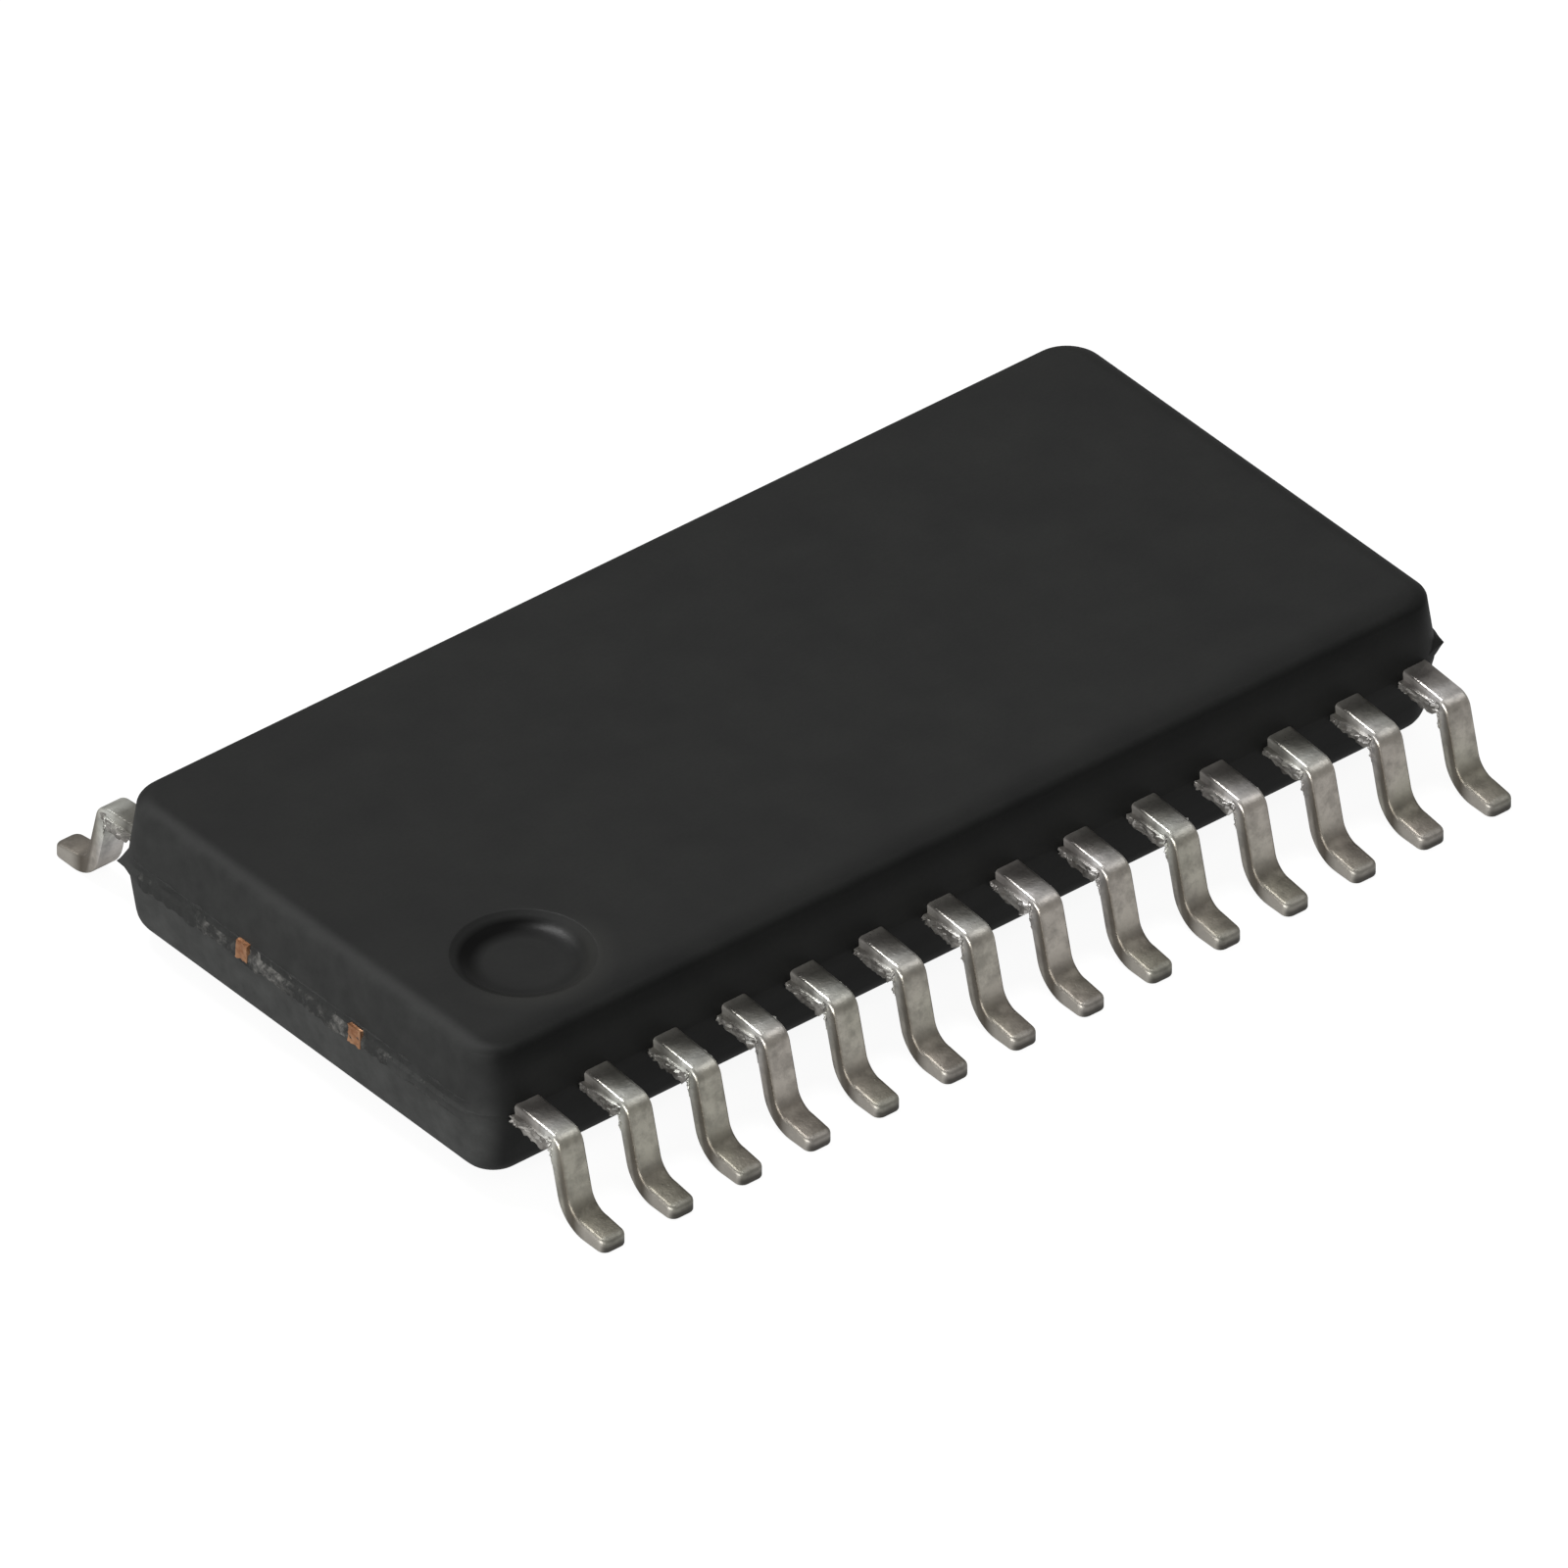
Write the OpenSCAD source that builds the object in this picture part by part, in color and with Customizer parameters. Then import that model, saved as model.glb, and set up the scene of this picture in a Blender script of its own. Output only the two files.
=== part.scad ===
// Twenty-eight lead, wide-body, gull-wing surface-mount integrated circuit.
// Origin: middle of the footprint, on the seating plane. +X runs along the body, +Z is up.
// Lead 1 is at the left end of the near side (-X, -Y); the numbers run anticlockwise from above.

/* [Moulded body] */
// Length of the body at the parting plane
body_l = 17.98; // [17.8:0.02:19]
// Width of the body at the parting plane
body_w = 8.62; // [8.5:0.02:9]
// Height of the body between its flat faces
body_h = 2.3; // [2.25:0.01:2.8]
// Gap between the seating plane and the underside of the body
standoff = 0.14; // [0.08:0.01:0.3]
// Height of the lead frame's middle plane above the underside of the body
frame_up = 1.27; // [1.15:0.01:1.32]
// Draft angle of the side walls
draft = 8; // [4:0.5:10]
// Radius of the upright corners at the parting plane
corner_r = 0.66; // [0.62:0.01:0.9]
// Radius of the edges round the top face
top_edge_r = 0.16; // [0.05:0.01:0.25]
// Radius of the edges round the underside
low_edge_r = 0.4; // [0.05:0.01:0.42]
// How far the parting ridge stands out of the side walls
ridge_out = 0.12; // [0.08:0.01:0.18]
// Height of the parting ridge at its foot
ridge_foot = 0.52; // [0.36:0.01:0.6]
// Radius of the upright corners of the parting ridge
ridge_corner_r = 0.46; // [0.3:0.01:0.5]

/* [Pin-one mark and gate] */
// Diameter of the round dimple that marks lead 1, at the top face
dimple_d = 2.06; // [1:0.02:2.4]
// Slope of the dimple's wall, seen from above
dimple_slope = 0.24; // [0.1:0.02:0.4]
// Depth of the dimple
dimple_depth = 0.12; // [0.05:0.01:0.2]
// Distance from the left end, at the parting plane, to the middle of the dimple
dimple_from_end = 2.14; // [1.8:0.02:3]
// Distance from the near side, at the parting plane, to the middle of the dimple
dimple_from_side = 1.82; // [1.6:0.02:3]
// Width of the gate scar on the left end face
gate_w = 1.3; // [0.8:0.1:1.8]
// Height of the gate scar above the parting plane
gate_h = 0.42; // [0.3:0.02:0.6]
// How far the gate scar stands out of the end face
gate_out = 0.06; // [0.03:0.01:0.08]
// Distance of the gate scar from the middle of the end face, towards the near side
gate_shift = 0.1; // [0:0.02:0.3]

/* [Leads] */
// Leads along each long side
leads_per_side = 14; // [12:2:14]
// Distance from one lead to the next
pitch = 1.27; // [1.2:0.01:1.3]
// Width of a lead
lead_w = 0.46; // [0.36:0.01:0.5]
// Thickness of the lead frame sheet
frame_t = 0.27; // [0.2:0.01:0.3]
// Flat shoulder of a lead, from the parting plane wall to the first bend
shoulder = 0.75; // [0.7:0.01:1]
// Inside radius of the shoulder bend
shoulder_r = 0.05; // [0.04:0.01:0.12]
// Lean of the shank away from upright
shank_lean = 14; // [6:1:20]
// Inside radius of the heel bend
heel_r = 0.32; // [0.2:0.01:0.36]
// Length of the flat sole, from the heel bend to the toe
sole = 0.39; // [0.3:0.01:0.6]
// Fall of the upper face of the foot towards the toe
foot_fall = 8; // [2:1:9]
// Chamfer round the toe
toe_break = 0.035; // [0.02:0.005:0.05]
// How far a dam bar stub stands out of each flank of a lead
stub_out = 0.05; // [0.02:0.01:0.08]
// Length of a dam bar stub along the lead
stub_l = 0.38; // [0.25:0.01:0.44]
// Gap between the parting ridge and the dam bar stub
stub_gap = 0.05; // [0.02:0.01:0.12]

/* [Lead frame inside the body] */
// Width of the anchor that locks a lead in the body
anchor_w = 0.72; // [0.56:0.01:0.8]
// Length of the anchor
anchor_l = 0.28; // [0.2:0.01:0.34]
// Cover of moulding compound outside the anchor
anchor_cover = 0.22; // [0.18:0.01:0.26]
// Width of the finger that carries the bond
finger_w = 0.2; // [0.16:0.01:0.22]
// Distance between the tips of the fingers beside the die pad
tip_pitch = 0.76; // [0.7:0.01:0.8]
// Distance between the tips of the fingers past the corner of the die pad, along the body
corner_tip_run = 0.42; // [0.38:0.01:0.5]
// Distance between the tips of the fingers past the corner of the die pad, across the body
corner_tip_fall = 0.2; // [0.16:0.01:0.22]
// Gap between the die pad and the tips of the fingers
tip_gap = 0.3; // [0.24:0.01:0.4]
// Length of the die pad
pad_l = 6.4; // [6:0.1:6.8]
// Width of the die pad
pad_w = 4.2; // [4:0.1:4.3]
// Straight run of a tie bar beside the die pad
tie_run = 0.35; // [0.25:0.01:0.5]
// Depth of the die pad below the leads
downset = 0.2; // [0.1:0.01:0.3]
// Width of a tie bar
tie_w = 0.18; // [0.14:0.01:0.22]
// Distance of the far tie bars from the middle of the body
tie_far = 1.2; // [0.9:0.02:1.4]
// Distance of the near tie bars from the middle of the body
tie_near = 1.36; // [0.9:0.02:1.44]
// Notch left in the parting ridge round the cut end of a tie bar
tie_notch = 0.05; // [0.03:0.01:0.1]

/* [Die and wires] */
// Length of the die
die_l = 4.6; // [4.2:0.1:5]
// Width of the die
die_w = 3; // [2.9:0.1:3.4]
// Thickness of the die
die_t = 0.3; // [0.2:0.01:0.36]
// Thickness of the die-attach film
attach_t = 0.03; // [0.02:0.005:0.05]
// Distance from the edge of the die to the middle of a bond pad
bond_in = 0.12; // [0.08:0.01:0.2]
// Distance between bond pads on the long edge of the die
bond_pitch = 0.5; // [0.4:0.02:0.55]
// Distance between bond pads on the short edge of the die
end_bond_pitch = 0.28; // [0.24:0.01:0.36]
// Thickness of a bond wire
wire_t = 0.033; // [0.025:0.001:0.05]
// Fall of a wire from the top of its loop to the shoulder of its span
span_fall = 0.04; // [0.02:0.01:0.06]
// Height of the wire loop above the die
loop_h = 0.2; // [0.12:0.01:0.28]
// Diameter of the ball bond
ball_d = 0.09; // [0.07:0.005:0.12]
// Height of the ball bond
ball_h = 0.02; // [0.01:0.005:0.03]
// Length of the stitch bond on the finger
stitch_l = 0.12; // [0.08:0.01:0.16]

/* [Hidden] */
lead_count = 2 * leads_per_side;

epoxy_black = [0.17, 0.17, 0.165];
tin_grey = [0.56, 0.54, 0.51];
copper_tan = [0.72, 0.5, 0.36];
film_grey = [0.78, 0.78, 0.74];
silicon_blue = [0.3, 0.33, 0.42];
gold_yellow = [0.9, 0.72, 0.3];

// Heights above the seating plane.
body_top = standoff + body_h;
frame_mid = standoff + frame_up;
frame_top = frame_mid + frame_t / 2;
frame_low = frame_mid - frame_t / 2;
pad_top = frame_top - downset;
die_low = pad_top + attach_t;
die_top = die_low + die_t;

// Plan sizes.
wall_y = body_w / 2;
wall_x = body_l / 2;
half_side = leads_per_side / 2;
stub_from = wall_y + ridge_out + stub_gap;
bend_from = wall_y + shoulder;
anchor_from = wall_y - anchor_cover;
side_tips = 4;
stitch_in = 1.5 * stitch_l;
loop_share = 0.45;
downset_run = 0.4;
downset_from = pad_l / 2 + tie_run;

// Gull wing: the two bend centres, given as [distance from the middle plane, height].
bend_turn = 90 - shank_lean;
outer_r = shoulder_r + frame_t;
sole_r = heel_r + frame_t;
knee = [bend_from, frame_top - outer_r];
shank_l = (knee.y + outer_r * cos(bend_turn) - sole_r + heel_r * cos(bend_turn)) / sin(bend_turn);
heel = [knee.x + (outer_r + heel_r) * sin(bend_turn) + shank_l * cos(bend_turn), sole_r];
toe = heel.x + sole;
bend_steps = 3;
edge_steps = 3;

// Points of an arc about c, from angle a to angle b, both ends included.
function arc(c, r, a, b, steps) =
    [for (k = [0:steps]) c + r * [cos(a + (b - a) * k / steps), sin(a + (b - a) * k / steps)]];

function unit(v) = v / norm(v);
function left_of(v) = [-v.y, v.x];

// Offset of a path's point k to its left by d, mitred between the two runs that meet there.
function mitre(path, k, d) =
    let (
        last = len(path) - 1,
        a = unit(path[max(k, 1)] - path[max(k, 1) - 1]),
        b = unit(path[min(k, last - 1) + 1] - path[min(k, last - 1)]),
        n = unit(left_of(a) + left_of(b))
    )
    path[k] + n * d / (n * left_of(a));

// Outline of a strip of width w along a path.
function strip(path, w) =
    concat(
        [for (k = [0:len(path) - 1]) mitre(path, k, w / 2)],
        [for (k = [len(path) - 1:-1:0]) mitre(path, k, -w / 2)]
    );

// Distance of the drafted wall from a corner's axis at height z.
function wall_at(z) = corner_r - abs(z - frame_mid) * tan(draft);

// Section of the side wall, from a corner's axis outwards.
module wall_section() {
    low_c = [wall_at(standoff + low_edge_r) - low_edge_r / cos(draft), standoff + low_edge_r];
    top_c = [wall_at(body_top - top_edge_r) - top_edge_r / cos(draft), body_top - top_edge_r];
    polygon(concat(
        [[0, standoff]],
        arc(low_c, low_edge_r, -90, -draft, edge_steps),
        [[corner_r, frame_mid]],
        arc(top_c, top_edge_r, draft, 90, edge_steps),
        [[0, body_top]]
    ));
}

// Section of the parting ridge, from a corner's axis outwards. Its lip is as high as the lead frame is thick.
module ridge_section() {
    foot = ridge_corner_r - ridge_out - ridge_foot / 2 * tan(draft);
    polygon([
        [0, frame_mid - ridge_foot / 2],
        [foot, frame_mid - ridge_foot / 2],
        [ridge_corner_r, frame_mid - frame_t / 2],
        [ridge_corner_r, frame_mid + frame_t / 2],
        [foot, frame_mid + ridge_foot / 2],
        [0, frame_mid + ridge_foot / 2]
    ]);
}

// Carries a section along each side of a rectangle and round its corners.
// run holds the distances of the corners' axes from the middle.
module around(run) {
    for (q = [0:3]) {
        out = run[q % 2];
        along = run[(q + 1) % 2];
        rotate([0, 0, 90 * q])
            translate([out, along, 0]) {
                rotate([90, 0, 0])
                    linear_extrude(2 * along)
                        children();
                rotate_extrude(angle = 90, $fn = 64)
                    children();
            }
    }
}

// Outer form of the body: a core, the drafted walls round it and the ridge round the walls.
module mould_form() {
    core = [wall_x - corner_r, wall_y - corner_r];
    translate([-core.x, -core.y, standoff])
        cube([2 * core.x, 2 * core.y, body_h]);
    around(core)
        wall_section();
    around(core + (corner_r + ridge_out - ridge_corner_r) * [1, 1])
        ridge_section();
}

// Round dimple with a flat floor and a sloping wall.
module dimple() {
    floor_r = dimple_d / 2 - dimple_slope;
    rim_r = dimple_d / 2 + dimple_slope;
    translate([dimple_from_end - wall_x, dimple_from_side - wall_y, body_top - dimple_depth])
        cylinder(h = 2 * dimple_depth, r1 = floor_r, r2 = rim_r, $fn = 96);
}

// Raised patch where the moulding gate was broken off.
module gate_scar() {
    face_high = wall_x - corner_r + wall_at(frame_mid + gate_h);
    translate([0, gate_w / 2 - gate_shift, 0])
        rotate([90, 0, 0])
            linear_extrude(gate_w)
                polygon([
                    [-wall_x - gate_out, frame_mid],
                    [corner_r - wall_x, frame_mid],
                    [corner_r - wall_x, frame_mid + gate_h],
                    [-face_high - gate_out, frame_mid + gate_h]
                ]);
}

// Notches in the parting ridge at the cut ends of the tie bars.
module tie_notches() {
    for (side = [0, 1], y = [-tie_near, tie_far])
        mirror([side, 0, 0])
            translate([wall_x, y - tie_w / 2 - tie_notch, frame_low - tie_notch])
                cube([ridge_out + tie_notch, tie_w + 2 * tie_notch, frame_t + 2 * tie_notch]);
}

// Place of the finger tip of lead k, counted from the middle of the side: [x, distance from the middle].
function tip(k) =
    k < side_tips
        ? [tip_pitch * (k + 0.5), pad_w / 2 + tip_gap]
        : [pad_l / 2 + tip_gap, pad_w / 2 + tip_gap - corner_tip_fall]
            + (k - side_tips) * [corner_tip_run, -corner_tip_fall];

// Place of the bond pad of lead k on the die.
function bond_pad(k) =
    k < side_tips
        ? [bond_pitch * (k + 0.5), die_w / 2 - bond_in]
        : [die_l / 2 - bond_in, die_w / 2 - bond_in - end_bond_pitch * (k - side_tips + 0.5)];

// Middle line of the finger of lead k, from inside the anchor.
function finger_path(k) = [[pitch * (k + 0.5), anchor_from - anchor_l / 2], tip(k)];

// Place of the stitch bond, a little in from the finger's tip.
function stitch(k) =
    let (path = finger_path(k))
    tip(k) + unit(path[0] - path[1]) * stitch_in;

// Flat part of lead k on the +X, +Y quarter: shoulder, dam bar stubs, anchor and finger.
module lead_flat(k) {
    x = pitch * (k + 0.5);
    translate([0, 0, frame_low])
        linear_extrude(frame_t) {
            translate([x - lead_w / 2, anchor_from])
                square([lead_w, bend_from - anchor_from]);
            translate([x - lead_w / 2 - stub_out, stub_from])
                square([lead_w + 2 * stub_out, stub_l]);
            translate([x - anchor_w / 2, anchor_from - anchor_l])
                square([anchor_w, anchor_l]);
            polygon(strip(finger_path(k), finger_w));
        }
}

// Bent part of lead k on the +X, +Y quarter, from the shoulder bend to the toe.
module lead_bend(k) {
    low_turn = -90 - bend_turn;
    toe_top = heel.y - heel_r * cos(foot_fall) - (toe - heel.x + heel_r * sin(foot_fall)) * tan(foot_fall);
    section = concat(
        arc(knee, outer_r, 90, 90 - bend_turn, bend_steps),
        arc(heel, heel_r, low_turn, -90 - foot_fall, bend_steps),
        [
            [toe - toe_break, toe_top + toe_break * tan(foot_fall)],
            [toe, toe_top - toe_break],
            [toe, toe_break],
            [toe - toe_break, 0]
        ],
        arc(heel, sole_r, -90, low_turn, bend_steps),
        arc(knee, shoulder_r, 90 - bend_turn, 90, bend_steps)
    );
    translate([pitch * (k + 0.5) - lead_w / 2, 0, 0])
        rotate([90, 0, 90])
            linear_extrude(lead_w)
                polygon(section);
}

// Carries a shape of the +X, +Y quarter to the place of lead n. Its children take k from quarter_k(n).
module at_lead(n) {
    from_left = (n - 1) % leads_per_side;
    near = n <= leads_per_side;
    rotate([0, 0, near ? 180 : 0])
        mirror([from_left < half_side ? 0 : 1, 0, 0])
            children();
}

function quarter_k(n) =
    let (from_left = (n - 1) % leads_per_side)
    from_left < half_side ? half_side - 1 - from_left : from_left - half_side;

module lead(n) {
    color(tin_grey)
        at_lead(n) {
            lead_flat(quarter_k(n));
            lead_bend(quarter_k(n));
        }
}

// Die pad, with a downset tie bar to the end face at each of its four corners.
module die_pad() {
    color(copper_tan) {
        translate([-pad_l / 2, -pad_w / 2, pad_top - frame_t])
            cube([pad_l, pad_w, frame_t]);
        for (side = [0, 1], y = [-tie_near, tie_far])
            mirror([side, 0, 0])
                translate([0, y + tie_w / 2, 0])
                    rotate([90, 0, 0])
                        linear_extrude(tie_w)
                            polygon([
                                [pad_l / 2, pad_top - frame_t],
                                [downset_from, pad_top - frame_t],
                                [downset_from + downset_run, frame_low],
                                [wall_x, frame_low],
                                [wall_x, frame_top],
                                [downset_from + downset_run, frame_top],
                                [downset_from, pad_top],
                                [pad_l / 2, pad_top]
                            ]);
    }
}

module die_attach() {
    color(film_grey)
        translate([-die_l / 2, -die_w / 2, pad_top])
            cube([die_l, die_w, attach_t]);
}

module silicon_die() {
    color(silicon_blue)
        translate([-die_l / 2, -die_w / 2, die_low])
            cube([die_l, die_w, die_t]);
}

// Wire from the die to the finger of lead n: ball bond, loop and stitch bond.
module bond_wire(n) {
    k = quarter_k(n);
    from = bond_pad(k);
    span = stitch(k) - from;
    reach = norm(span);
    loop_top = die_top + loop_h - wire_t / 2;
    path = [
        [0, die_top + ball_h / 2],
        [0, loop_top],
        [reach * loop_share, loop_top - span_fall],
        [reach - stitch_l / 2, frame_top + wire_t / 2],
        [reach + stitch_l / 2, frame_top + wire_t / 2]
    ];
    color(gold_yellow)
        at_lead(n)
            translate([from.x, from.y, 0]) {
                translate([0, 0, die_top])
                    linear_extrude(ball_h)
                        circle(d = ball_d, $fn = 6);
                rotate([0, 0, atan2(span.y, span.x)])
                    translate([0, wire_t / 2, 0])
                        rotate([90, 0, 0])
                            linear_extrude(wire_t)
                                polygon(strip(path, wire_t));
            }
}

// Moulded body: the outer form, less all that it was moulded round.
module mould_body() {
    color(epoxy_black)
        difference() {
            union() {
                mould_form();
                gate_scar();
            }
            dimple();
            tie_notches();
            die_pad();
            die_attach();
            silicon_die();
            for (n = [1:lead_count]) {
                at_lead(n)
                    lead_flat(quarter_k(n));
                bond_wire(n);
            }
        }
}

mould_body();
die_pad();
die_attach();
silicon_die();
for (n = [1:lead_count]) {
    lead(n);
    bond_wire(n);
}
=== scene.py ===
"""Looks of a small-outline chip: a black moulded body and twenty-eight tinned gull-wing leads."""

import math

import bpy
from mathutils import Matrix, Vector


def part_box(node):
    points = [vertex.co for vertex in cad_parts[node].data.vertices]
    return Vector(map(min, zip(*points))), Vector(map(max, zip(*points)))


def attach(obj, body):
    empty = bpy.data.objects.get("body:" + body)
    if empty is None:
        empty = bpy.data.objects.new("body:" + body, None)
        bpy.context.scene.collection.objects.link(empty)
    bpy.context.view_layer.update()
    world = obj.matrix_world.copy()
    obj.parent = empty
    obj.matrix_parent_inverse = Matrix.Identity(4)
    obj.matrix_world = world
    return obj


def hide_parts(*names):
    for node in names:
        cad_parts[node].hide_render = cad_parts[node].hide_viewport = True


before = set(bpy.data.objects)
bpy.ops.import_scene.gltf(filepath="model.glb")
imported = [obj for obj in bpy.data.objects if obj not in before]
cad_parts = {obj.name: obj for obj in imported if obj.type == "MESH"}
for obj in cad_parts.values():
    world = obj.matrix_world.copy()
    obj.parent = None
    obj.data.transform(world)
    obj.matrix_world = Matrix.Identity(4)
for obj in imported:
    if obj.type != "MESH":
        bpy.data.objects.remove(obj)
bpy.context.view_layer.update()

MM = 0.001
PER_SIDE = 14
PITCH = 1.27

# Pieces are drawn in millimetres and brought to metres when done.

# The moulded block: its heights, and its half sizes at the parting plane. The ridge of the CAD solid is left
# off, and the end faces stand a little further out.
body_low, body_high = (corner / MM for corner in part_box("mould_body"))
TOP, BOTTOM = body_high.z, body_low.z
FRAME_LOW, FRAME_TOP = 1.275, 1.545
FRAME_T = FRAME_TOP - FRAME_LOW
PARTING = (FRAME_LOW + FRAME_TOP) / 2
SEAM_HALF = 0.01
RIDGE_OUT, END_FURTHER = 0.12, 0.02
HALF_L, HALF_W = body_high.x - RIDGE_OUT + END_FURTHER, body_high.y - RIDGE_OUT
CORNER_R = 0.7
DRAFT = math.radians(8)
TOP_EDGE_R, END_EDGE_OUT = 0.14, 0.16
LOW_EDGE_R = 0.42

# The round dimple in the top face, by lead one.
DIMPLE_X, DIMPLE_Y, DIMPLE_REACH = -6.85, -2.49, 1.16

# The torn band at the parting plane, between mould halves that were a little out of line. The lip stands out
# at the ends, and the fins at two corners. Pale flash shows on the end faces, between two distances from the
# middle.
MISMATCH = 0.025
LIP, LIP_DEEP, BAND_SUNK = 0.02, 0.06, 0.03
FAR_FIN, NEAR_FIN, FIN_REACH = 0.11, 0.075, 0.26
FLASH_LOW, FLASH_FROM, FLASH_TO = 1.0, -2.1, 3.6

# The sheared ends of the two tie bars: distance from the middle, height, width and thickness.
TIE_ENDS = ((1.2, 1.41, 0.24, 0.3), (-1.36, 1.36, 0.28, 0.3))
TIE_END_L, TIE_END_SUNK = 0.2, 0.06

# The gull-wing leads. A bend centre is its distance from the middle plane and its height.
LEAD_W = 0.46
ROOT_IN = 0.15
SHOULDER_FALL = 0.065
BEND_OUT = 0.28
KNEE = Vector((5.045, FRAME_TOP - SHOULDER_FALL - BEND_OUT))
HEEL_IN, HEEL_OUT = 0.34, 0.61
TURN = math.radians(76)
SHANK = (KNEE.y + (BEND_OUT + HEEL_IN) * math.cos(TURN) - HEEL_OUT) / math.sin(TURN)
HEEL = Vector((KNEE.x + (BEND_OUT + HEEL_IN) * math.sin(TURN) + SHANK * math.cos(TURN), HEEL_OUT))
TOE = 6.28
FOOT_FALL = 0.06
TOE_CORNER_R = 0.13
OUTER_EDGE_R, INNER_EDGE_R = 0.06, 0.02
FAR_ROW_IN = 0.04

# What the dam bar left on the flanks of a lead: where it begins, steps in and ends, and how far it stands
# out.
STUB_FROM, STUB_STEP, STUB_TO = 4.3, 4.5, 5.12
STUB_OUT, SPUR_OUT, STUB_END_IN = 0.04, 0.05, 0.033
BURR_TOP = FRAME_TOP - 0.16


# ---------------------------------------------------------------- modelling

def make_active(piece):
    if bpy.context.object and bpy.context.object.mode != "OBJECT":
        bpy.ops.object.mode_set(mode="OBJECT")
    bpy.ops.object.select_all(action="DESELECT")
    piece.select_set(True)
    bpy.context.view_layer.objects.active = piece


def pick(piece, verts=None, edges=None, faces=None):
    """Selects only what passes the test of place or normal, and goes on in edit mode."""
    make_active(piece)
    mesh = piece.data
    for part in (mesh.vertices, mesh.edges, mesh.polygons):
        part.foreach_set("select", [False] * len(part))
    if verts:
        for v in mesh.vertices:
            v.select = verts(v)
    if edges:
        for e in mesh.edges:
            e.select = edges(*(mesh.vertices[i] for i in e.vertices))
    if faces:
        for f in mesh.polygons:
            f.select = faces(f.center, f.normal)
    bpy.context.tool_settings.mesh_select_mode = (bool(verts), bool(edges), bool(faces))
    bpy.ops.object.mode_set(mode="EDIT")


def pick_all(piece):
    make_active(piece)
    bpy.ops.object.mode_set(mode="EDIT")
    bpy.ops.mesh.select_mode(type="VERT")
    bpy.ops.mesh.select_all(action="SELECT")


def start(piece, name, scale, place=(0, 0, 0)):
    """Names a new primitive and gives it its size and place."""
    piece.name = piece.data.name = name
    piece.scale, piece.location = scale, place
    make_active(piece)
    bpy.ops.object.transform_apply(location=True, rotation=True, scale=True)
    return piece


def keep(piece, modifier):
    make_active(piece)
    bpy.ops.object.modifier_apply(modifier=modifier.name)


def tidy_mesh(piece):
    pick_all(piece)
    bpy.ops.mesh.remove_doubles(threshold=0.0005)
    bpy.ops.mesh.normals_make_consistent(inside=False)
    bpy.ops.object.mode_set(mode="OBJECT")


def to_metres(piece):
    make_active(piece)
    piece.scale = (MM, MM, MM)
    bpy.ops.object.transform_apply(location=False, rotation=False, scale=True)


def smooth(piece, degrees):
    make_active(piece)
    bpy.ops.object.shade_smooth_by_angle(angle=math.radians(degrees))


def mark(piece, group, test):
    """Puts the vertices that pass the test of place in a vertex group."""
    make_active(piece)
    found = [v.index for v in piece.data.vertices if test(v.co)]
    piece.vertex_groups.new(name=group).add(found, 1, "REPLACE")


def roughen(piece, group, grain, depth, direction="NORMAL", level=0.5):
    """Tears a marked zone by a cloud pattern, grain and depth in millimetres.

    What has the level's tone stays put.
    """
    clouds = bpy.data.textures.new(f"{piece.name}_{group}_{direction}", "CLOUDS")
    clouds.noise_scale, clouds.noise_depth = grain, 3
    tear = piece.modifiers.new(group, "DISPLACE")
    tear.texture, tear.texture_coords, tear.vertex_group = clouds, "GLOBAL", group
    tear.strength, tear.mid_level, tear.direction = depth, level, direction
    keep(piece, tear)


def rounded_plate(name, half_l, half_w, z, corner_r, corner_steps):
    """A flat face with round corners."""
    bpy.ops.mesh.primitive_plane_add(size=2)
    piece = start(bpy.context.object, name, (half_l, half_w, 1), (0, 0, z))
    pick_all(piece)
    bpy.ops.mesh.bevel(offset=corner_r, segments=corner_steps, profile=0.5, affect="VERTICES")
    return piece


def push(distance):
    """Extrudes what is chosen by a distance."""
    bpy.ops.mesh.extrude_region_move(TRANSFORM_OT_translate={"value": distance})


def inset(thickness, depth):
    bpy.ops.mesh.inset(thickness=thickness, depth=depth, use_even_offset=True)


def fillet(radius, first, last, steps, end_out):
    """Insets the chosen face along a round, between two slopes in radians from upright.

    Both ends go in further by end_out in all.
    """
    angles = [first + (last - first) * k / steps for k in range(steps + 1)]
    for a, b in zip(angles, angles[1:]):
        inset(radius * (math.cos(a) - math.cos(b)), radius * (math.sin(b) - math.sin(a)))
        shorter = 1 - end_out * (math.cos(a) - math.cos(b)) / HALF_L
        bpy.ops.transform.resize(value=(shorter, 1, 1), center_override=(0, 0, 0))


def moulded_block():
    """The block of compound, drawn from its parting plane up to the top and down to the underside."""
    wall_steps = 4
    block = rounded_plate("moulded_body", HALF_L, HALF_W, PARTING - SEAM_HALF, CORNER_R, corner_steps=14)
    pick(block, faces=lambda c, n: True)
    push((0, 0, 2 * SEAM_HALF))
    for up, z, r, end_out in ((1, TOP, TOP_EDGE_R, END_EDGE_OUT), (-1, BOTTOM, LOW_EDGE_R, 0)):
        pick(block, faces=lambda c, n: n.z * up > 0.9)
        rise = abs(z - PARTING) - SEAM_HALF - r * (1 - math.sin(DRAFT))
        for step in range(wall_steps):
            inset(rise * math.tan(DRAFT) / wall_steps, rise / wall_steps)
        fillet(r, DRAFT, math.pi / 2, 8, end_out)
        # Two narrow rings keep the shading of the round off the flat face.
        inset(0.03, 0)
        inset(0.05, 0)
    tidy_mesh(block)
    pick(block, verts=lambda v: v.co.z < PARTING)
    bpy.ops.transform.translate(value=(-MISMATCH, 0, 0))
    bpy.ops.object.mode_set(mode="OBJECT")
    return block


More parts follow.
